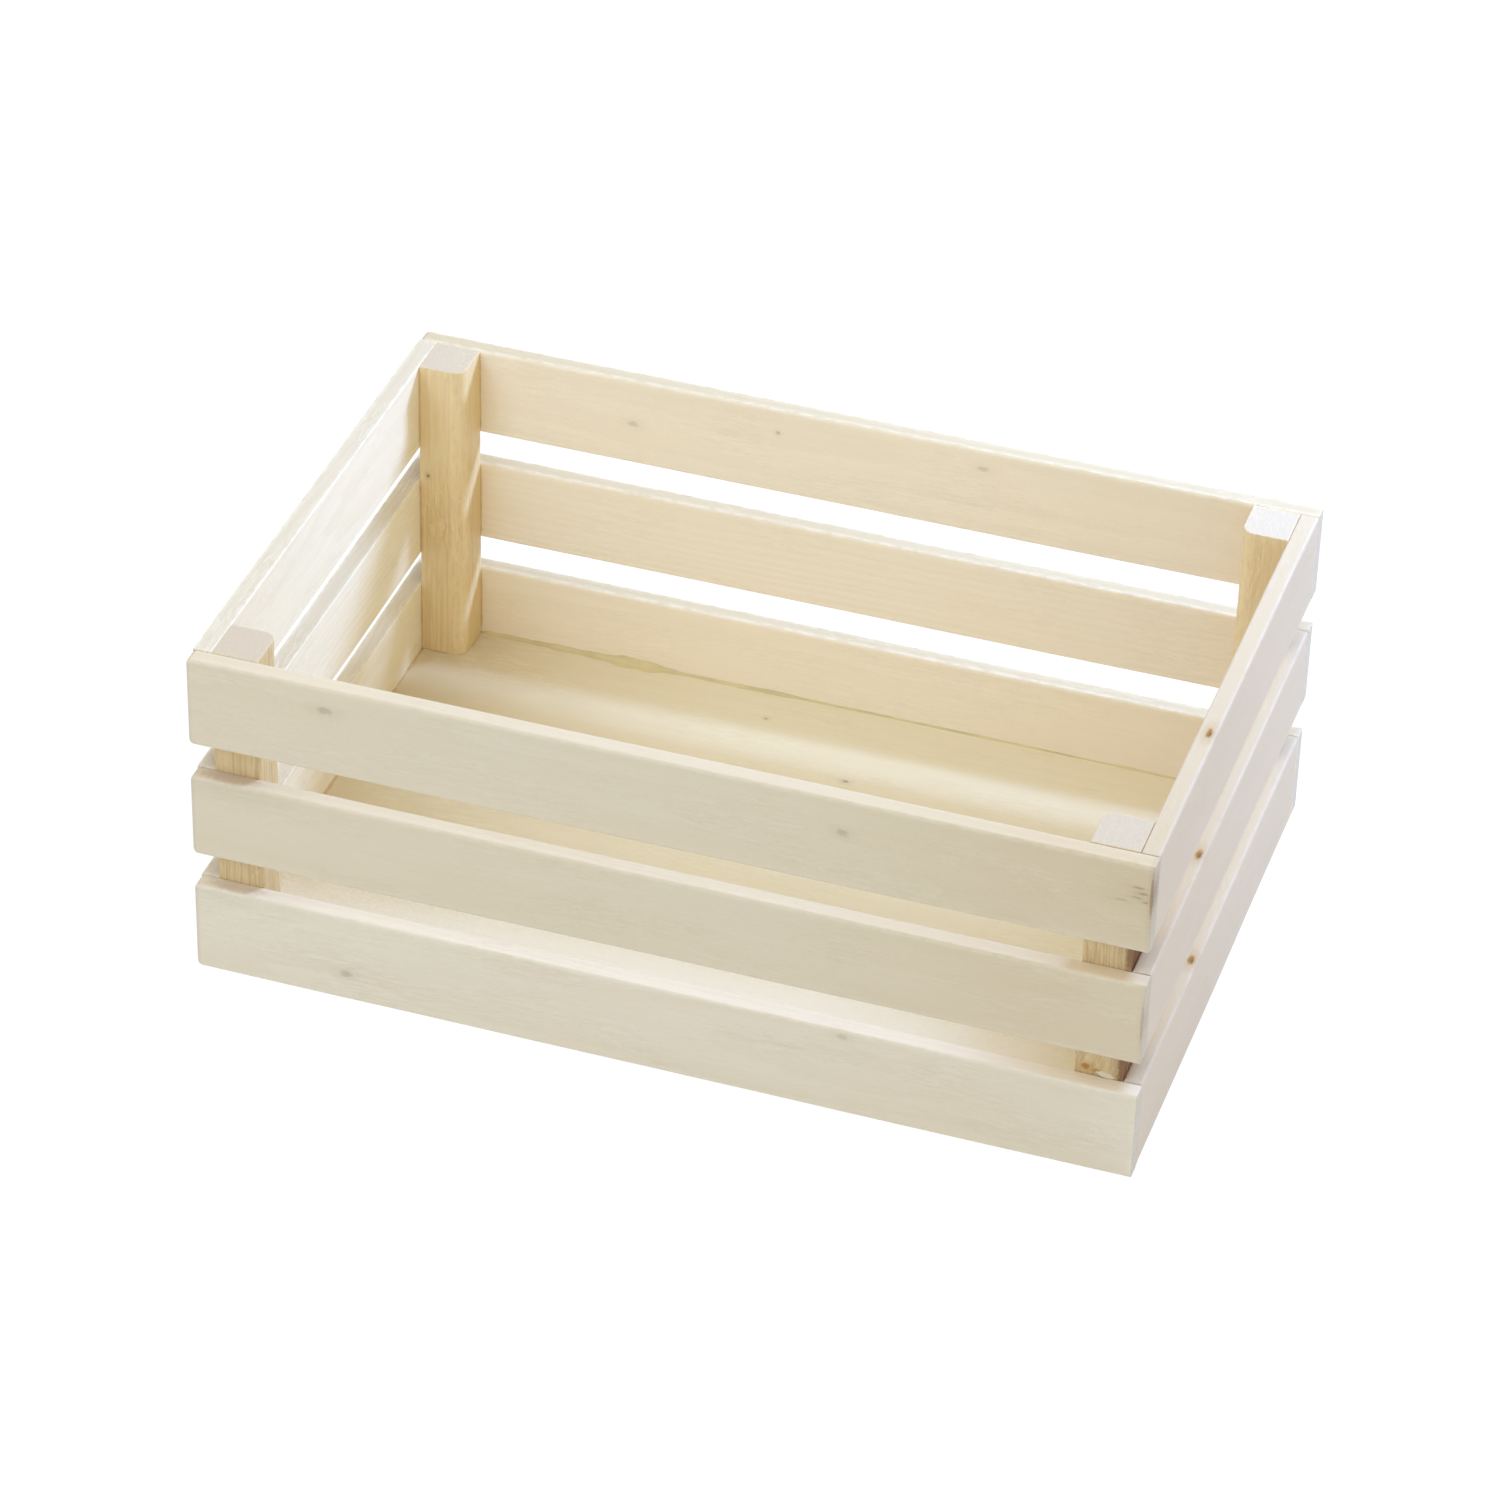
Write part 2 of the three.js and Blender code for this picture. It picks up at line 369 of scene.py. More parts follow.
def rounded_section(half_width, half_thickness, radii, spacing):
    """The outline of a rounded rectangle.

    Returns outline(half widths, half thicknesses), which gives the points of each section, and then
    for the points of one section: their normals, their distance round it, its whole length, and how
    near each is to a rounded edge, from 1 on the edge down to 0.
    """
    signs = np.array([(1, 1), (-1, 1), (-1, -1), (1, -1)], float)
    sides = (2 * half_width, 2 * half_thickness) * 2
    parts = [max(1, math.ceil(side / step)) for side, step in zip(sides, spacing)]
    firsts = np.cumsum([0] + [ARC_STEPS + count for count in parts])
    arcs = [first + np.arange(ARC_STEPS + 1) for first in firsts[:4]]
    turn = np.linspace(0, math.pi / 2, ARC_STEPS + 1)
    normals = []
    for begin, count in zip(np.radians([0, 90, 180, 270]), parts):
        angles = [*(begin + turn), *[begin + turn[-1]] * (count - 1)]
        normals += [(math.cos(angle), math.sin(angle)) for angle in angles]
    normals = np.array(normals)

    def outline(width, thickness):
        halves = np.column_stack([width, thickness])
        points = np.zeros((len(halves), len(normals), 2))
        for arc, sign, radius in zip(arcs, signs, radii):
            limited = np.minimum(radius, halves.min(1))[:, None]
            centre = sign * (halves - limited)
            points[:, arc] = centre[:, None] + limited[:, None] * normals[arc]
        for corner, count in enumerate(parts):
            last = arcs[corner][-1]
            begin, end = points[:, last], points[:, arcs[(corner + 1) % 4][0]]
            for step in range(1, count):
                part = step / count
                points[:, last + step] = begin * (1 - part) + end * part
        return points

    nominal = outline([half_width], [half_thickness])[0]
    steps = np.linalg.norm(np.roll(nominal, -1, 0) - nominal, axis=1)
    along = np.concatenate([[0], np.cumsum(steps)[:-1]])
    girth = steps.sum()
    apart = np.abs(along[:, None] - along[np.concatenate(arcs)])
    apart = np.minimum(apart, girth - apart).min(1)
    return outline, normals, along, girth, np.exp(-apart / WEAR_REACH)


def stations_along(run, ends, step):
    """Distances along a board: close together where its ends are rounded, and even between them."""
    first, last = (max(radii) for radii in ends)
    turn = np.linspace(math.pi / 2, 0, ARC_STEPS + 1)
    start = first * (1 - np.sin(turn))
    finish = run - last * (1 - np.sin(turn[::-1]))
    parts = max(2, math.ceil((finish[0] - start[-1]) / step))
    between = np.linspace(start[-1], finish[0], parts + 1)
    return np.concatenate([start[:-1], between, finish[1:]])


def close_end(ring, middle):
    """Rings that close an end, each drawn in from the last, down to a line at middle."""
    deepest = (ring[:, 2] - middle).max()
    count = max(3, math.ceil(deepest / CAP_SPACING))
    closed = []
    for k in range(1, count + 1):
        drawn = ring.copy()
        for axis, shift in ((1, 0.0), (2, middle)):
            most = max(np.abs(ring[:, axis] - shift).max() - deepest * k / count, 0)
            drawn[:, axis] = np.clip(ring[:, axis] - shift, -most, most) + shift
        closed.append(drawn)
    return closed


def tube_faces(rings, count, first=0):
    """The faces between each ring of points and the next."""
    begin = first + np.arange(rings - 1)[:, None] * count
    here = np.arange(count)
    after = (here + 1) % count
    corners = [begin + here, begin + after, begin + count + after, begin + count + here]
    return np.stack(corners, -1).reshape(-1, 4).tolist()


def board_surface(board, shape):
    """A board as a swept section with rounded and closed ends.

    Returns its vertices, faces and masks, and which vertices close its ends: all before the first
    number, and all from the second one on.
    """
    axes = list(board.axes)
    low, high = (np.array(corner)[axes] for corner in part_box(board.node))
    run, width, thickness = high - low
    across, at_edges, step = (gap * MM for gap in SPACING[board.slot])
    outline, normals, around, girth, edge = rounded_section(
        width / 2, thickness / 2, board.radii, (across, at_edges) * 2
    )
    stations = stations_along(run, board.ends, step)
    left = run - stations
    corner_in, tip_in = (
        drawn_in(stations, start) + drawn_in(left, finish) for start, finish in zip(*board.ends)
    )
    section = outline(width / 2 - corner_in, thickness / 2 - tip_in)

    rng = np.random.default_rng(board.seed)
    bumps = [(shape.waver, 45, 9), (shape.fibre_relief, 16, 1.9)]
    if board.ribs:
        bumps.append((board.ribs, 30, 0.55))
    lift = sum(
        height * smooth_noise(rng, stations, around, along * MM, about * MM, girth)
        for height, along, about in bumps
    )
    lift *= np.clip(np.minimum(stations, left) / END_REACH, 0, 1)[:, None]
    phase = rng.uniform(0, 2 * math.pi, 2)
    bend = shape.bow * np.sin(math.pi * stations / run) * math.cos(phase[0])
    bend += 0.35 * shape.bow * np.sin(3 * math.pi * stations / run + phase[1])

    count = len(around)
    rings = np.empty((len(stations), count, 3))
    rings[..., 0] = stations[:, None]
    rings[..., 1:] = section + normals * lift[..., None]
    rings[..., 2] += bend[:, None]
    first_cap = close_end(rings[0], bend[0])[::-1]
    last_cap = close_end(rings[-1], bend[-1])
    everything = np.concatenate([first_cap, rings, last_cap])
    local = everything.reshape(-1, 3)
    local[:, 0] -= run / 2
    vertices = np.empty_like(local)
    vertices[:, axes] = local + (high + low) / 2

    def mask(values, at_ends):
        """A value for every point, the same at all those that close the ends."""
        inner = np.broadcast_to(values, (len(stations), count))
        caps = ((len(first_cap), len(last_cap)), (0, 0))
        return np.pad(inner, caps, constant_values=at_ends).ravel()

    to_tip = np.exp(-np.minimum(stations, left) / WEAR_REACH)[:, None]
    reach = [max(radii) for radii in board.ends]
    tip = np.clip(np.maximum(1 - stations / reach[0], 1 - left / reach[1]), 0, None)
    # The narrow faces along the board, where the edge lighting tone paints light and shade.
    sawn = np.clip((np.abs(normals[:, 0]) - 0.75) / 0.25, 0, 1)
    # The face that takes the far tone: painted shade on a post's outer side, and on the back and left
    # walls the unpainted outside, where their insides are painted paler.
    far = np.clip((normals @ np.array(board.far_side, float) - 0.8) / 0.2, 0, 1)
    if board.ribs:
        far = far * np.clip(left / END_REACH - 0.5, 0, 1)[:, None]
    masks = {
        "worn_edge": mask(np.maximum(edge, to_tip), 0),
        "end_face": mask(tip[:, None], 1),
        "edge_lighting_side": mask(sawn, 0),
        "far_side": mask(far, 0),
    }
    caps = (len(first_cap) * count, len(vertices) - len(last_cap) * count)
    return vertices, tube_faces(len(everything), count), masks, caps


def press_marks(vertices, node, marks):
    """Presses each mark a little below the face that it is on, so that it isn't only a stain."""
    low, high = (np.array(corner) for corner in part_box(node))
    for mark in marks:
        place = np.array(mark.place) * MM
        radius = mark.radius * MM
        face = int(np.argmin(np.abs(np.concatenate([place - low, high - place]))))
        inward = np.zeros(3)
        inward[face % 3] = 1 if face < 3 else -1
        apart = np.linalg.norm(vertices - place, axis=1)
        depth = DENT * min(radius, WIDEST_DENT) * np.exp(-((apart / radius) ** 2))
        vertices = vertices + depth[:, None] * inward
    return vertices


def mesh_object(name, vertices, faces, material, masks=None, caps=None):
    """A piece of closed, smooth shaded faces, with its masks kept as attributes of its points."""
    mesh = bpy.data.meshes.new(name)
    mesh.from_pydata(vertices.tolist(), [], faces)
    for title, values in (masks or {}).items():
        kept = mesh.attributes.new(title, "FLOAT", "POINT").data
        kept.foreach_set("value", values.astype(np.float32))
    work = bmesh.new()
    work.from_mesh(mesh)
    work.verts.ensure_lookup_table()
    if caps:
        ends = [*work.verts[: caps[0]], *work.verts[caps[1] :]]
        bmesh.ops.remove_doubles(work, verts=ends, dist=SAME_POINT)
    bmesh.ops.recalc_face_normals(work, faces=work.faces[:])
    for face in work.faces:
        face.smooth = True
    work.to_mesh(mesh)
    work.free()
    made = bpy.data.objects.new(name, mesh)
    bpy.context.scene.collection.objects.link(made)
    mesh.materials.append(material)
    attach(made, "root")
    return made


class Nodes:
    """Adds nodes to a tree and joins them. What feeds a socket is a value or another node's socket."""

    def __init__(self, tree):
        self.tree = tree

    def feed(self, socket, value):
        if isinstance(value, bpy.types.NodeSocket):
            self.tree.links.new(value, socket)
        else:
            socket.default_value = value

    def add(self, kind, sockets=None, **settings):
        node = self.tree.nodes.new("ShaderNode" + kind)
        node.location = (220 * (len(self.tree.nodes) % 12), -260 * (len(self.tree.nodes) // 12))
        for key, value in settings.items():
            setattr(node, key, value)
        for key, value in (sockets or {}).items():
            self.feed(node.inputs[key], value)
        return node

    def group(self, tree, sockets):
        return self.add("Group", sockets, node_tree=tree).outputs

    def mask(self, title):
        return self.add("Attribute", attribute_name=title).outputs["Fac"]

    def math(self, operation, *values):
        return self.add("Math", dict(enumerate(values)), operation=operation).outputs[0]

    def times(self, value, by):
        return self.math("MULTIPLY", value, by)

    def plus(self, base, value, by):
        """The base, and the value as many times as by says."""
        return self.math("MULTIPLY_ADD", value, by, base)

    def vector(self, operation, *values):
        node = self.add("VectorMath", dict(enumerate(values)), operation=operation)
        return node.outputs["Value" if operation == "LENGTH" else "Vector"]

    def parts(self, vector):
        return self.add("SeparateXYZ", {0: vector}).outputs

    def joined(self, *parts):
        return self.add("CombineXYZ", dict(enumerate(parts))).outputs[0]

    def noise(self, place, scale, detail=2.0, roughness=0.5, distortion=0.0, output="Fac"):
        """Noise. Its scale is given along, across and down, or along and for both of the others."""
        place = self.vector("MULTIPLY", place, (*scale, scale[1])[:3])
        sockets = {"Vector": place, "Scale": 1.0, "Detail": detail, "Roughness": roughness}
        return self.add("TexNoise", {**sockets, "Distortion": distortion}).outputs[output]

    def stray(self, place, scale, detail, roughness, reach):
        """A smooth random push, up to half of its reach each way."""
        push = self.noise(place, scale, detail, roughness, output="Color")
        return self.vector("MULTIPLY", self.vector("SUBTRACT", push, (0.5, 0.5, 0.5)), reach)

    def between(self, value, low, high, to_low=0.0, to_high=1.0):
        """Takes a value from one range to another, smoothly and held to its ends."""
        sockets = {"Value": value, 1: low, 2: high, 3: to_low, 4: to_high}
        return self.add("MapRange", sockets, interpolation_type="SMOOTHSTEP").outputs["Result"]

    def ridge(self, value, middle, half_width):
        """1 where a value is at the middle, and 0 where it is further off than the half width."""
        apart = self.math("ABSOLUTE", self.math("SUBTRACT", value, middle))
        return self.between(apart, half_width, 0.0)

    def mix(self, amount, under, over, blend="MIX"):
        node = self.add("Mix", {0: amount, 6: under, 7: over}, data_type="RGBA", blend_type=blend)
        return node.outputs[2]

    def blend(self, amount, under, over):
        return self.add("MixShader", {0: amount, 1: under.outputs[0], 2: over.outputs[0]})

    def surface(self, shade, rough, height, strength, depth, fixed):
        """A Principled surface with a bump, and the numbers that are the same all over it."""
        bump = self.add("Bump", {"Strength": strength, "Distance": depth, "Height": height})
        sockets = {"Base Color": shade, "Roughness": rough, "Normal": bump.outputs[0], **fixed}
        shader = self.add("BsdfPrincipled", sockets)
        self.add("OutputMaterial", {"Surface": shader.outputs[0]})


def bare_nodes(block):
    """The emptied nodes of a material or of the world."""
    block.use_nodes = True
    block.node_tree.nodes.clear()
    return Nodes(block.node_tree)


def node_group(name, takes, gives):
    """Makes a function that fills a shader node group into one that returns it, made once.

    The function is given the group's Nodes and the sockets that it takes, and returns what it gives.
    """

    def made_once(fill):
        def tree_of():
            tree = bpy.data.node_groups.get(name)
            if tree:
                return tree
            tree = bpy.data.node_groups.new(name, "ShaderNodeTree")
            for title, kind in takes.items():
                tree.interface.new_socket(title, in_out="INPUT", socket_type="NodeSocket" + kind)
            for title in gives:
                tree.interface.new_socket(title, in_out="OUTPUT", socket_type="NodeSocketFloat")
            nodes = Nodes(tree)
            given = tree.nodes.new("NodeGroupInput").outputs[: len(takes)]
            result = tree.nodes.new("NodeGroupOutput")
            result.location = (2900, 0)
            for title, value in zip(gives, fill(nodes, *given)):
                nodes.feed(result.inputs[title], value)
            return tree

        return tree_of

    return made_once


def in_millimetres(nodes, place):
    return nodes.vector("MULTIPLY", place, (1 / MM,) * 3)


@node_group(
    "Board grain",
    {"Place": "Vector", "Pith": "Vector", "Ring Width": "Float"},
    ("Late Wood", "Fibre", "Curl", "Fleck", "Rib", "Pores", "Relief"),
)
def grain_group(nodes, place, pith, ring_width):
    """Growth rings, fibres, curl, flecks, ribs and pores, for a place whose X runs along the grain."""
    place = in_millimetres(nodes, place)
    wander = nodes.stray(place, (0.007, 0.03), 2.5, 0.45, (0, 11, 11))
    ripple = nodes.stray(place, (0.05, 0.25), 2, 0.5, (0, 1.5, 1.5))
    bent = nodes.vector("ADD", nodes.vector("ADD", place, wander), ripple)
    from_pith = nodes.vector("MULTIPLY", nodes.vector("SUBTRACT", bent, pith), (0, 1, 1))
    turns = nodes.math("DIVIDE", nodes.vector("LENGTH", from_pith), ring_width)
    phase = nodes.math("FRACT", turns)
    late = nodes.times(nodes.between(phase, 0.25, 0.9), nodes.between(phase, 1.0, 0.93))
    year = nodes.noise(nodes.math("FLOOR", turns), (1, 1), 0)
    late = nodes.times(late, nodes.between(year, 0.25, 0.75, 0.35, 1.0))

    fibre = nodes.noise(bent, (0.09, 3.2), 4, 0.62)
    streak = nodes.noise(bent, (0.012, 0.75), 3, 0.55)
    fibre = nodes.between(nodes.plus(nodes.times(streak, 0.45), fibre, 0.55), 0.3, 0.7)
    swirl = nodes.noise(bent, (0.11, 0.95), 3, 0.5, 0.5)
    patch = nodes.between(nodes.noise(place, (0.02, 0.06), 1), 0.42, 0.6)
    curl = nodes.times(nodes.ridge(swirl, 0.46, 0.07), patch)
    fleck = nodes.times(nodes.ridge(swirl, 0.58, 0.05), patch)
    rib = nodes.between(nodes.noise(bent, (0.012, 1.15), 1), 0.4, 0.62)
    pores = nodes.between(nodes.noise(bent, (0.5, 8.5), 1), 0.66, 0.74)

    relief = nodes.times(fibre, 0.55)
    for part, depth in ((curl, -0.35), (pores, -0.5), (late, 0.25)):
        relief = nodes.plus(relief, part, depth)
    return late, fibre, curl, fleck, rib, pores, relief


@node_group(
    "Knot",
    {"Place": "Vector", "Middle": "Vector", "Radius": "Float", "Stretch": "Float"},
    ("Heart", "Halo", "Push"),
)
def knot_group(nodes, place, middle, radius, stretch):
    """One knot or speck: its heart, the halo round it, and how far it pushes the grain aside."""
    along, across, down = nodes.parts(nodes.vector("SUBTRACT", place, middle))
    flat = nodes.joined(nodes.math("DIVIDE", along, stretch), across, down)
    unit = nodes.vector("DIVIDE", flat, nodes.joined(radius, radius, radius))
    ragged = nodes.stray(place, (700, 1500), 2, 0.6, (0.9, 0.9, 0.9))
    apart = nodes.vector("LENGTH", nodes.vector("ADD", unit, ragged))
    return [nodes.between(apart, *reach) for reach in ((1.15, 0.45), (3.2, 0.9), (5.0, 0.5))]


@node_group("End grain", {"Place": "Vector", "End": "Float"}, ("Tubes", "Saw Marks"))
def end_grain_group(nodes, place, end):
    """Cut fibres and saw lines across the end of a board."""
    place = in_millimetres(nodes, place)
    tubes = nodes.between(nodes.noise(place, (0.5, 5.5), 3, 0.7), 0.35, 0.7)
    lines = nodes.between(nodes.noise(place, (0.5, 3.6, 0.35)), 0.35, 0.65)
    return nodes.times(tubes, end), nodes.times(lines, end)


@node_group(
    "Handling", {"Place": "Vector", "Edge": "Float"}, ("Broad", "Blush", "Rubbed", "Dust")
)
def handling_group(nodes, place, edge):
    """What handling leaves: broad changes of tone, edges rubbed paler, and fine dust."""
    place = in_millimetres(nodes, place)
    broad = nodes.noise(place, (0.014, 0.035), 2.5)
    blush = nodes.noise(place, (0.023, 0.05), output="Color")
    blush = nodes.add("SeparateColor", {0: blush}).outputs[1]
    rubbed = nodes.between(nodes.noise(place, (0.25, 0.6), 3, 0.6), 0.3, 0.62)
    dust = nodes.noise(place, (1.6, 1.9), 4, 0.7)
    tones = (nodes.between(value, 0.3, 0.7) for value in (broad, blush))
    return (*tones, nodes.times(rubbed, edge), nodes.between(dust, 0.5, 0.78))


def opaque(values):
    return (*values, 1.0)


def shaded(values, parts):
    """A colour made darker or paler, by one number or by one for each of its values."""
    return opaque(np.minimum(1, np.multiply(tuple(values)[:3], parts)))


def place_along_grain(nodes, axes, shift):
    """The object's own place, turned so that X runs along the grain, and the same place shifted."""
    where = nodes.parts(nodes.add("TexCoord").outputs["Object"])
    turned = nodes.joined(*(where[axis] for axis in axes))
    return turned, nodes.vector("ADD", turned, shift)


def wood_material(board, marks, finish):
    """Wood for one board, with its own stretch of grain and its own knots."""
    material = bpy.data.materials.new(board.node + "_wood")
    nodes = bare_nodes(material)
    rng = np.random.default_rng(1000 + board.seed)
    shift = tuple(rng.uniform(-4, 4, 3) * (1, 0, 0))
    bare, place = place_along_grain(nodes, board.axes, shift)
    light, late_tone = (getattr(finish, title) for title in board.tones)
    light = shaded(light, board.paler)
    late_tone = opaque(late_tone)

    knots = []
    pushed = place
    for knot in marks:
        middle = tuple(knot.place[axis] * MM for axis in board.axes)
        sockets = {"Place": bare, "Middle": middle, "Radius": knot.radius * MM}
        knots.append(nodes.group(knot_group(), {**sockets, "Stretch": knot.stretch}))
        push = 0.9 * min(knot.radius, 1.2) * MM * knot.strength
        aside = nodes.times(knots[-1]["Push"], push)
        pushed = nodes.vector("ADD", pushed, nodes.joined(0.0, aside, aside))

    end = nodes.mask("end_face")
    low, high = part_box(board.node)
    centre = [(low[axis] + high[axis]) / 2 / MM for axis in board.axes]
    pith = (0, centre[1] + board.pith[0], centre[2] + board.pith[1])
    sockets = {"Place": pushed, "Pith": pith, "Ring Width": board.ring_width}
    late, fibre, curl, fleck, rib, pores, relief = nodes.group(grain_group(), sockets)
    tubes, saw_marks = nodes.group(end_grain_group(), {"Place": place, "End": end})
    handled = {"Place": place, "Edge": nodes.mask("worn_edge")}
    broad, blush, rubbed, dust = nodes.group(handling_group(), handled)
    contrast = board.fibre * finish.fibre_contrast

    ring_contrast = finish.ring_contrast * min(board.fibre, 1)
    streaks = nodes.math("SUBTRACT", 1.0, fibre)
    darker = shaded(late_tone, 0.86)
    shade = light
    for mask, amount, over in (
        (late, ring_contrast, late_tone),
        (streaks, 0.55 * contrast, late_tone),
        (curl, 0.4 * contrast, darker),
        (rib, board.rib_tone, shaded(late_tone, (0.6, 0.53, 0.56))),
        (pores, 0.55 * contrast, darker),
        (broad, 0.45, shaded(light, (0.99, 0.955, 0.9))),
        (blush, 0.3, shaded(light, (0.95, 0.965, 0.93))),
    ):
        shade = nodes.mix(nodes.times(mask, amount), shade, over)
    if any(board.browner):
        run = [corner[board.axes[0]] for corner in (low, high)]
        reach = 0.42 * (run[1] - run[0])
        along = nodes.parts(bare)[0]
        uneven = nodes.plus(0.6, blush, 0.4)
        for amount, tip, inside in zip(board.browner, run, (run[0] + reach, run[1] - reach)):
            near = nodes.times(nodes.between(along, inside, tip), uneven)
            shade = nodes.mix(nodes.times(near, amount), shade, opaque(finish.slat_brown_tone))
    # Painted light and shade on the narrow upper and lower faces.
    shade = nodes.mix(nodes.mask("edge_lighting_side"), shade, opaque(board.edge_lighting_tone), "MULTIPLY")
    # Painted shade on a post's outer side; on the back and left walls the outside keeps a plain tone
    # while the inside is painted paler.
    if any(board.far_side):
        other = np.divide(tuple(getattr(finish, board.far_tone)), light[:3])
        shade = nodes.mix(nodes.mask("far_side"), shade, opaque(other), "MULTIPLY")
    cut = opaque(getattr(finish, board.end_tone))
    shade = nodes.mix(nodes.times(end, 0.85), shade, cut)
    shade = nodes.mix(nodes.times(tubes, 0.5), shade, shaded(cut, (0.86, 0.83, 0.77)))
    bright = nodes.math("MAXIMUM", rubbed, nodes.times(fleck, 1.3 * contrast))
    shade = nodes.mix(nodes.times(bright, 0.5), shade, shaded(light, 1.05))
    for knot, masks in zip(marks, knots):
        # Each mark's tone: real knots and stains, and patches of painted shade and painted light.
        stain = opaque(getattr(finish, knot.tone))
        shade = nodes.mix(nodes.times(masks["Halo"], 0.22 * knot.strength), shade, stain)
        shade = nodes.mix(nodes.times(masks["Heart"], knot.strength), shade, stain)

    rough = nodes.plus(finish.wood_roughness + 0.04, fibre, -0.06)
    rough = nodes.plus(nodes.plus(rough, dust, 0.06), rubbed, -0.08)
    height = nodes.plus(nodes.plus(relief, saw_marks, 1.2), tubes, -0.7)
    nodes.surface(shade, rough, height, 0.7, 0.06 * MM, {"Specular IOR Level": 0.15})
    return material


def make_board(board):
    scene = bpy.context.scene
    marks = MARKS.get(board.node, ())
    vertices, faces, masks, caps = board_surface(board, scene.crate_shape)
    vertices = press_marks(vertices, board.node, marks)
    material = wood_material(board, marks, scene.crate_finish)
    made = mesh_object(board.node + "_wood", vertices, faces, material, masks, caps)
    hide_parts(board.node)
    return made


def slats(shape, long):
    """The slats of the two long walls, or of the two short ones."""
    boards = []
    for index, side in enumerate(SIDES):
        if (side in ("front", "back")) != long:
            continue
        for row_index, row in enumerate(ROWS):
            seed = 10 * index + row_index
            rng = np.random.default_rng(200 + seed)
            crisp = LEFT_CRISPNESS if side == "left" else 1.0
            radii = tuple(crisp * shape.edge_radius * rng.uniform(0.8, 1.15, 4))
            ends = ((shape.butt_radius, shape.butt_radius),) * 2
            if long:
                crisp_end = (0.15 * shape.corner_radius, 0.2 * shape.tip_radius)
                ends = ((shape.corner_radius, shape.tip_radius), crisp_end)
            pith = (rng.uniform(-14, 14), rng.choice((-1, 1)) * rng.uniform(28, 60))
            if rng.uniform() < QUARTER_SAWN:
                pith = (rng.choice((-1, 1)) * rng.uniform(40, 70), rng.uniform(-10, 10))
            pale = "slat_tone" if side == "front" else f"{side}_slat_tone"
            settings = {"fibre": 0.9, "browner": (0.0, 0.15), **WALLS[side]}
            if side == "front":
                # The front slats' browner right ends are painted shade.
                settings["browner"] = FRONT_END_SHADE[row]
                # The bottom front slat is painted paler and cooler: painted light.
                settings["paler"] = (1.09, 1.12, 1.2) if row == "bottom" else (1, 1, 1)
            boards.append(
                Board(
                    node=f"{side}_{row}_slat",
                    axes=(0, 2, 1) if long else (1, 2, 0),
                    radii=radii,
                    ends=ends,
                    seed=seed,
                    pith=pith,
                    ring_width=rng.uniform(2.4, 3.6),
                    tones=(pale, "slat_late_tone"),
                    end_tone="end_grain_tone",
                    slot="slat_wood",
                    **settings,
                )
            )
    return boards


class CRATE_OT_long_slats(bpy.types.Operator):
    """Build the six full-length slats of the front and back walls"""

    bl_idname = "crate.long_slats"
    bl_label = "Long slats"

    def execute(self, context):
        for board in slats(context.scene.crate_shape, True):
            make_board(board)
        return {"FINISHED"}


class CRATE_OT_short_slats(bpy.types.Operator):
    """Build the six slats of the left and right walls"""

    bl_idname = "crate.short_slats"
    bl_label = "Short slats"

    def execute(self, context):
        for board in slats(context.scene.crate_shape, False):
            make_board(board)
        return {"FINISHED"}


class CRATE_OT_posts(bpy.types.Operator):
    """Build the four corner posts, each with its inner edge rounded"""

    bl_idname = "crate.posts"
    bl_label = "Corner posts"

    def execute(self, context):
        shape = context.scene.crate_shape
        for index, (front, left) in enumerate(CORNERS):
            inward = (1 if left == "left" else -1, 1 if front == "front" else -1)
            radii = tuple(
                shape.post_radius if sign == inward else shape.post_edge_radius
                for sign in ((1, 1), (-1, 1), (-1, -1), (1, -1))
            )
            rng = np.random.default_rng(300 + index)
            board = Board(
                node=f"{front}_{left}_post",
                axes=(2, 0, 1),
                radii=radii,
                ends=((shape.butt_radius, shape.butt_radius),) * 2,
                seed=60 + index,
                pith=(rng.uniform(20, 40), rng.uniform(-40, -20)),
                ring_width=rng.uniform(1.7, 2.3),
                tones=("post_tone", "post_late_tone"),
                end_tone="post_end_tone",
                slot="post_wood",
                ribs=shape.post_rib_depth,
                # Painted shade: the post's outer side, seen in the gaps, takes the dark stain and shade
                # tone.
                far_side=(-inward[0], 0),
                far_tone="stain_and_shade_tone",
                fibre=1.8,
                rib_tone=0.6 if front == "front" else 0.2,
                paler=(0.89,) * 3 if front == "front" else (1, 1, 1),
            )
            make_board(board)
        return {"FINISHED"}


class CRATE_OT_floor_board(bpy.types.Operator):
    """Build the floor panel"""

    bl_idname = "crate.floor_board"
    bl_label = "Floor panel"

    def execute(self, context):
        edge = FLOOR_EDGE_RADIUS
        board = Board(
            node="floor_panel",
            axes=(0, 1, 2),
            radii=(edge,) * 4,
            ends=((edge, edge),) * 2,
            seed=80,
            pith=(25, -90),
            ring_width=3.4,
            tones=("floor_tone", "floor_late_tone"),
            end_tone="floor_tone",
            slot="floor_wood",
            # The floor's left part is painted browner: painted shade.
            browner=(0.7, 0.0),
        )
        make_board(board)
        return {"FINISHED"}


def dusty(nodes, shift, scale):
    """What the handling group gives for a small piece: broad, blush, rubbed and dust."""
    _, place = place_along_grain(nodes, (0, 1, 2), shift)
    finer = nodes.vector("MULTIPLY", place, (scale,) * 3)
    return nodes.group(handling_group(), {"Place": finer, "Edge": 1.0})


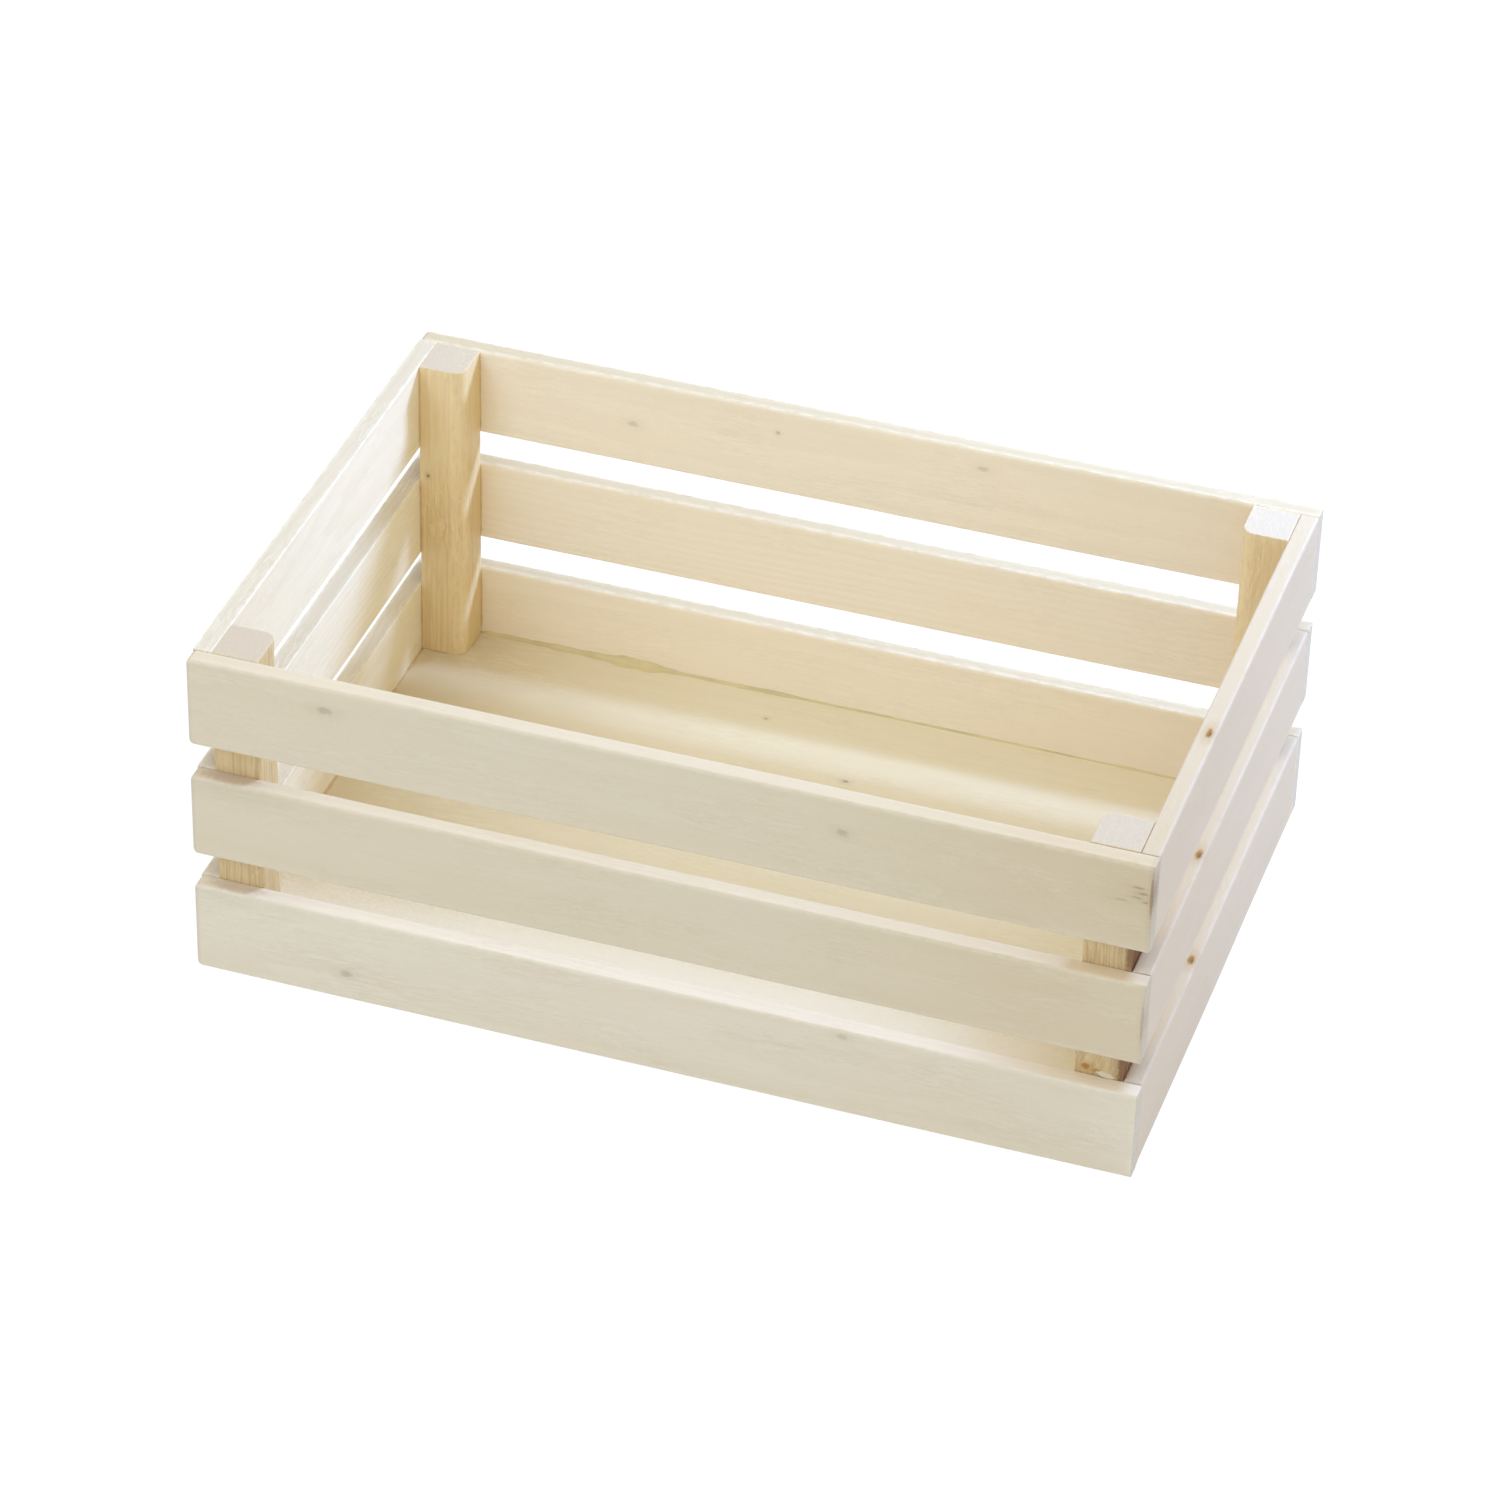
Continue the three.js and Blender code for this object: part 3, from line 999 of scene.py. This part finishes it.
def glue_material(name, glue):
    """Dried wood glue: a little glossy, and uneven."""
    material = bpy.data.materials.new(name)
    nodes = bare_nodes(material)
    broad, blush, _, dust = dusty(nodes, (0.3, 0.2, 0.1), 6)
    milky = opaque([0.6 * value + 0.3 for value in glue])
    shade = nodes.mix(nodes.times(broad, 0.8), opaque(glue), shaded(glue, 0.8))
    shade = nodes.mix(nodes.times(dust, 0.35), shade, milky)
    nodes.surface(shade, nodes.plus(0.4, blush, 0.2), dust, 0.5, 0.1 * MM, {})
    return material


def glue_bead(start, finish, into, up, reach, height, rng):
    """The rings of a fillet of glue along a joint, as an array of rings by points by 3.

    It spreads by reach along into and by height along up. Both are functions of how far along it is.
    """
    start, finish = np.array(start), np.array(finish)
    into, up = np.array(into, float), np.array(up, float)
    run = np.linalg.norm(finish - start)
    stations = np.linspace(0, run, max(8, math.ceil(run / (0.9 * MM))))
    one = np.zeros(1)
    swell = smooth_noise(rng, stations, one, 11 * MM, MM)[:, 0]
    swell = swell + 0.5 * smooth_noise(rng, stations, one, 3 * MM, MM)[:, 0]
    taper = np.clip(np.minimum(stations, run - stations) / END_REACH, 0.2, 1)
    uneven = np.clip((1 + 0.3 * swell) * taper, 0.1, None)
    part = stations / run
    buried = 0.12 * MM
    skin = 0.07 * MM
    turn = np.linspace(0, 1, 7)
    rings = []
    for along, wide, tall in zip(stations, reach(part) * uneven, height(part) * uneven):
        outline = [(-buried, -buried), (wide, -buried)]
        outline += [(wide * (1 - t) ** 1.6 + skin * t, tall * t**1.6 + skin * (1 - t)) for t in turn]
        outline.append((-buried, tall))
        middle = start + (finish - start) * along / run
        rings.append([middle + into * a + up * b for a, b in outline])
    return np.array(rings)


def glue_piece(name, beads, material):
    """One piece that holds several beads, each a closed skin of its own."""
    faces = []
    first = 0
    for rings in beads:
        rows, count = rings.shape[:2]
        last = first + rows * count
        faces += tube_faces(rows, count, first)
        faces += [tuple(range(first, first + count)), tuple(range(last - 1, last - 1 - count, -1))]
        first = last
    vertices = np.concatenate([rings.reshape(-1, 3) for rings in beads])
    return mesh_object(name, vertices, faces, material)


def even(size):
    """The reach or height of a bead that is the same all along."""
    return lambda part: size + 0 * part


def floor_line_reach(part):
    """How far the floor's glue spreads: widest near the left end, as the photograph shows."""
    smear = 1.9 * np.exp(-(((part - 0.205) / 0.045) ** 2))
    start = 0.7 * np.exp(-(((part - 0.1) / 0.05) ** 2))
    blob = 0.5 * np.exp(-(((part - 0.765) / 0.018) ** 2))
    return (1.25 - 0.75 * part**2 + smear + start + blob) * MM


def floor_beads(lines, level, reach, rng):
    """Thin beads of glue along the floor. The lines hold where each starts and ends, and its side."""
    size = (even(reach * MM), even(0.4 * MM))
    return [
        glue_bead((*start, level), (*finish, level), into, (0, 0, 1), *size, rng)
        for start, finish, into in lines
    ]


class CRATE_OT_glue(bpy.types.Operator):
    """Lay the dried glue round the floor and at the posts, and the splinter on one post"""

    bl_idname = "crate.glue"
    bl_label = "Glue lines"

    def execute(self, context):
        finish = context.scene.crate_finish
        rng = np.random.default_rng(5)
        floor_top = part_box("floor_panel")[1][2]
        post_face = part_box("back_left_post")[1][0]
        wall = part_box("back_bottom_slat")[0][1]
        line = glue_bead(
            (post_face, wall, floor_top),
            (-post_face, wall, floor_top),
            (0, -1, 0),
            (0, 0, 1),
            floor_line_reach,
            lambda part: 0.7 * floor_line_reach(part),
            rng,
        )
        glue_piece("floor_back_glue", [line], glue_material("floor_glue", finish.glue_tone))

        seam = glue_material("seam_glue", finish.seam_tone)
        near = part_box("front_left_post")[1][1]
        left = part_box("left_bottom_slat")[1][0]
        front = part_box("front_bottom_slat")[1][1]
        edges = (
            ((left, near), (left, -near), (1, 0, 0)),
            ((-left, near), (-left, -near), (-1, 0, 0)),
            ((post_face, front), (-post_face, front), (0, 1, 0)),
        )
        glue_piece("floor_edge_glue", floor_beads(edges, floor_top, 0.8, rng), seam)
        for front, left in CORNERS:
            self.lay_seams(front, left, floor_top, seam, rng)
        self.splinter(finish, rng)
        return {"FINISHED"}

    def lay_seams(self, front, left, foot, material, rng):
        """The glue where a post meets its slats and the floor, on the sides that face inside."""
        low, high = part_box(f"{front}_{left}_post")
        sign_x = 1 if left == "right" else -1
        sign_y = 1 if front == "back" else -1
        outer_x, inner_x = (high[0], low[0]) if left == "right" else (low[0], high[0])
        outer_y, inner_y = (high[1], low[1]) if front == "back" else (low[1], high[1])
        turned = bpy.context.scene.crate_shape.post_radius
        feet = (
            ((outer_x, inner_y), (inner_x + sign_x * turned, inner_y), (0, -sign_y, 0)),
            ((inner_x, outer_y), (inner_x, inner_y + sign_y * turned), (-sign_x, 0, 0)),
        )
        beads = floor_beads(feet, foot, 0.5, rng)
        for row in ROWS:
            for side, x, y in ((front, inner_x, outer_y), (left, outer_x, inner_y)):
                bottom, top = (corner[2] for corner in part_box(f"{side}_{row}_slat"))
                rest = [(x, y, max(bottom, foot) + 0.7 * MM), (x, y, top - 0.9 * MM)]
                size = even(rng.uniform(0.35, 0.5) * MM)
                beads.append(glue_bead(*rest, (-sign_x, 0, 0), (0, -sign_y, 0), size, size, rng))
        glue_piece(f"{front}_{left}_post_glue", beads, material)

    def splinter(self, finish, rng):
        """The pale splinter at the foot of the front right post, in the lower gap."""
        low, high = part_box("front_right_post")
        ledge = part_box("front_bottom_slat")[1][2]
        chip = glue_bead(
            (high[0] - 8.5 * MM, low[1], ledge + 0.9 * MM),
            (high[0] - 2 * MM, low[1], ledge - 0.1 * MM),
            (0, -1, 0),
            (0, 0, 1),
            lambda part: (0.9 - 0.3 * part) * MM,
            lambda part: (1.3 - 0.6 * part) * MM,
            rng,
        )
        glue_piece("front_right_splinter", [chip], glue_material("splinter_wood", finish.slat_tone))


def steel_material(finish):
    """Drawn steel wire: bright, with a little tarnish and dust."""
    material = bpy.data.materials.new("drawn_steel")
    nodes = bare_nodes(material)
    broad, _, _, dust = dusty(nodes, (0.7, 0.1, 0.4), 8)
    bright = finish.steel_tone
    shade = nodes.mix(nodes.times(broad, 0.6), opaque(bright), shaded(bright, 0.55))
    nodes.surface(shade, nodes.plus(0.28, dust, 0.25), dust, 0.3, 0.02 * MM, {"Metallic": 1})
    return material


class CRATE_OT_brads(bpy.types.Operator):
    """Give the hidden brads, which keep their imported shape, a drawn steel finish"""

    bl_idname = "crate.brads"
    bl_label = "Brads"

    def execute(self, context):
        material = steel_material(context.scene.crate_finish)
        for name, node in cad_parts.items():
            if name.endswith("_brad"):
                for slot in node.material_slots:
                    slot.material = material
        return {"FINISHED"}


# How far the ground lies below the crate.
GROUND_DEPTH = 0.15 * MM


def seen_directly(nodes):
    """1 for what the camera sees itself, or in a gloss or through glass, and 0 for light on its way."""
    path = nodes.add("LightPath").outputs
    seen = nodes.math("MAXIMUM", path["Is Camera Ray"], path["Is Glossy Ray"])
    return nodes.math("MAXIMUM", seen, path["Is Transmission Ray"])


def from_below(nodes):
    """1 where the ground is seen from below and where the crate rests on it, so the underside shows."""
    behind = nodes.add("NewGeometry").outputs["Backfacing"]
    path = nodes.add("LightPath").outputs
    resting = nodes.math("LESS_THAN", path["Ray Length"], 4 * GROUND_DEPTH)
    return nodes.math("MAXIMUM", nodes.times(behind, path["Is Camera Ray"]), resting)


def lamp(name, where, aim, size, power, tint):
    light = bpy.data.lights.new(name, "AREA")
    light.shape = "RECTANGLE"
    light.size = light.size_y = size
    light.energy = power
    light.color = tint
    made = bpy.data.objects.new(name, light)
    made.location = where
    made.rotation_euler = (Vector(aim) - Vector(where)).to_track_quat("-Z", "Y").to_euler()
    bpy.context.scene.collection.objects.link(made)
    return made


class CRATE_OT_studio(bpy.types.Operator):
    """Set up the pale floor, the soft light and the camera"""

    bl_idname = "crate.studio"
    bl_label = "Studio"

    def execute(self, context):
        scene = context.scene
        studio = scene.crate_studio
        self.lay_ground(scene)
        self.light_room(scene, studio)
        middle = (0, 0, 0.06)
        lamp("key", (0.29, 0.47, 0.42), middle, 0.14, studio.key_power, (0.314, 0.485, 1.0))
        lamp("fill", (-0.386, -0.668, 0.979), middle, 0.8, studio.fill_power, (0.433, 0.589, 1.0))

        camera = bpy.data.cameras.new("camera")
        camera.sensor_width = 36
        camera.lens = studio.lens
        camera.clip_start, camera.clip_end = 0.05, 50
        eye = bpy.data.objects.new("camera", camera)
        eye.location = studio.eye
        look = (Vector(studio.aim) - Vector(studio.eye)).to_track_quat("-Z", "Y")
        lean = Quaternion((0, 0, 1), studio.roll)
        eye.rotation_euler = (look @ lean).to_euler()
        scene.collection.objects.link(eye)
        scene.camera = eye
        scene.view_settings.view_transform = "Standard"
        return {"FINISHED"}

    def lay_ground(self, scene):
        """A plain pale ground just under the crate, which the camera sees nearly white."""
        reach = 4
        signs = ((-1, -1), (1, -1), (1, 1), (-1, 1))
        corners = [(x * reach, y * reach, -GROUND_DEPTH) for x, y in signs]
        ground = bpy.data.meshes.new("ground")
        ground.from_pydata(corners, [], [(0, 1, 2, 3)])
        floor = bpy.data.objects.new("ground", ground)
        scene.collection.objects.link(floor)
        material = bpy.data.materials.new("pale_ground")
        nodes = bare_nodes(material)
        plain = nodes.add("BsdfDiffuse", {"Color": opaque((0.82, 0.82, 0.82))})
        bright = nodes.add("Emission", {"Color": opaque((1, 1, 1)), "Strength": 1.08})
        glow = 0.86
        mixed = nodes.blend(nodes.times(seen_directly(nodes), glow), plain, bright)
        mixed = nodes.blend(from_below(nodes), mixed, nodes.add("BsdfTransparent"))
        nodes.add("OutputMaterial", {"Surface": mixed.outputs[0]})
        ground.materials.append(material)

    def light_room(self, scene, studio):
        """A world that is white behind the crate and nearly neutral as light."""
        world = bpy.data.worlds.new("white_room")
        scene.world = world
        nodes = bare_nodes(world)
        white = nodes.add("Background", {"Color": opaque((1, 1, 1)), "Strength": studio.backdrop})
        air = nodes.add("Background", {"Color": opaque((1.0, 0.975, 0.92)), "Strength": studio.ambient})
        mixed = nodes.blend(seen_directly(nodes), air, white)
        nodes.add("OutputWorld", {"Surface": mixed.outputs[0]})


STEPS = (
    CRATE_OT_long_slats,
    CRATE_OT_short_slats,
    CRATE_OT_posts,
    CRATE_OT_floor_board,
    CRATE_OT_glue,
    CRATE_OT_brads,
    CRATE_OT_studio,
)


class CRATE_PT_sidebar(bpy.types.Panel):
    """The crate's steps and settings"""

    bl_label = "Slatted apple crate"
    bl_idname = "CRATE_PT_sidebar"
    bl_space_type = "VIEW_3D"
    bl_region_type = "UI"
    bl_category = "Crate"

    def draw(self, context):
        layout = self.layout
        for step in STEPS:
            layout.operator(step.bl_idname)
        scene = context.scene
        for group in (scene.crate_shape, scene.crate_finish, scene.crate_studio):
            box = layout.box()
            for title in group.bl_rna.properties.keys():
                if title not in ("rna_type", "name"):
                    box.prop(group, title)


CLASSES = (CrateShape, CrateFinish, CrateStudio, *STEPS, CRATE_PT_sidebar)


def register():
    for kind in CLASSES:
        bpy.utils.register_class(kind)
    bpy.types.Scene.crate_shape = bpy.props.PointerProperty(type=CrateShape)
    bpy.types.Scene.crate_finish = bpy.props.PointerProperty(type=CrateFinish)
    bpy.types.Scene.crate_studio = bpy.props.PointerProperty(type=CrateStudio)


def unregister():
    for title in ("crate_shape", "crate_finish", "crate_studio"):
        delattr(bpy.types.Scene, title)
    for kind in reversed(CLASSES):
        bpy.utils.unregister_class(kind)


def main():
    register()
    bpy.ops.crate.long_slats()
    bpy.ops.crate.short_slats()
    bpy.ops.crate.posts()
    bpy.ops.crate.floor_board()
    bpy.ops.crate.glue()
    bpy.ops.crate.brads()
    bpy.ops.crate.studio()


if __name__ == "__main__":
    main()
